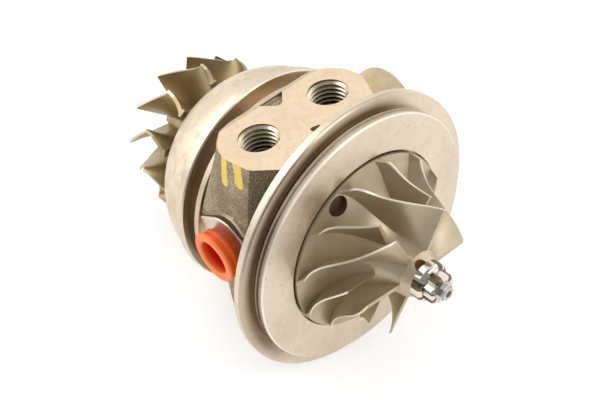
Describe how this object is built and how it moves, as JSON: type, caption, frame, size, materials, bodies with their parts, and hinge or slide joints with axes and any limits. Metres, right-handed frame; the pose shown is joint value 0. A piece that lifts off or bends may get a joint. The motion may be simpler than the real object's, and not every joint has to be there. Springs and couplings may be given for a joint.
{
  "type": "turbo cartridge",
  "caption": "Turbocharger centre cartridge: an oil-fed, water-cooled bearing housing with a turbine wheel and a compressor wheel on a shared shaft, and flanges for the outer housings.",
  "frame": {"origin": "on the shaft's axis, in the seat face of the compressor flange, where the spigot starts", "axes": "+X along the shaft towards the compressor wheel and its nut, +Z square to the flat top face with the oil ports, -Y towards the plugged coolant port"},
  "size_m": [0.123, 0.0892, 0.0892],
  "materials": {
    "cast_housing": "machined faces on a rough casting",
    "shield_sheet": "pressed sheet, satin",
    "turbine_alloy": "fine cast nickel alloy",
    "ground_steel": "ground",
    "ring_steel": "hardened",
    "bearing_bronze": "turned bronze",
    "seal_rubber": "matt",
    "wheel_aluminium": "fine cast, satin",
    "bright_nut": "bright plated",
    "orange_plastic": "soft satin"
  },
  "bodies": {
    "housing": {"bearing_housing": "cast_housing", "heat_shield": "shield_sheet", "turbine_piston_ring": "ring_steel", "compressor_piston_ring": "ring_steel", "turbine_bearing_circlips": "ring_steel", "compressor_bearing_circlip": "ring_steel", "thrust_bearing": "bearing_bronze", "thrust_bearing_pins": "ground_steel", "oil_deflector": "shield_sheet", "seal_plate": "wheel_aluminium", "seal_plate_o_ring": "seal_rubber", "seal_plate_snap_ring": "ring_steel"},
    "rotor": {"rotor_shaft": "ground_steel", "turbine_wheel": "turbine_alloy", "thrust_washer": "ground_steel", "thrust_collar": "ground_steel", "seal_sleeve": "ground_steel", "compressor_wheel": "wheel_aluminium", "lock_nut": "bright_nut"},
    "turbine_bearing": {"turbine_journal_bearing": "bearing_bronze"},
    "compressor_bearing": {"compressor_journal_bearing": "bearing_bronze"},
    "plug": {"port_plug": "orange_plastic"}
  },
  "joints": [
    {"name": "rotor_spin", "type": "hinge", "parent": "housing", "child": "rotor", "pos_m": [0, 0, 0], "axis": [1, 0, 0], "continuous": true},
    {"name": "turbine_bearing_float", "type": "hinge", "parent": "housing", "child": "turbine_bearing", "pos_m": [-0.0448, 0, 0], "axis": [1, 0, 0], "continuous": true},
    {"name": "compressor_bearing_float", "type": "hinge", "parent": "housing", "child": "compressor_bearing", "pos_m": [-0.0186, 0, 0], "axis": [1, 0, 0], "continuous": true},
    {"name": "port_plug_slide", "type": "slide", "parent": "housing", "child": "plug", "axis": [0, -1, 0], "range_m": [0, 0.02]}
  ]
}
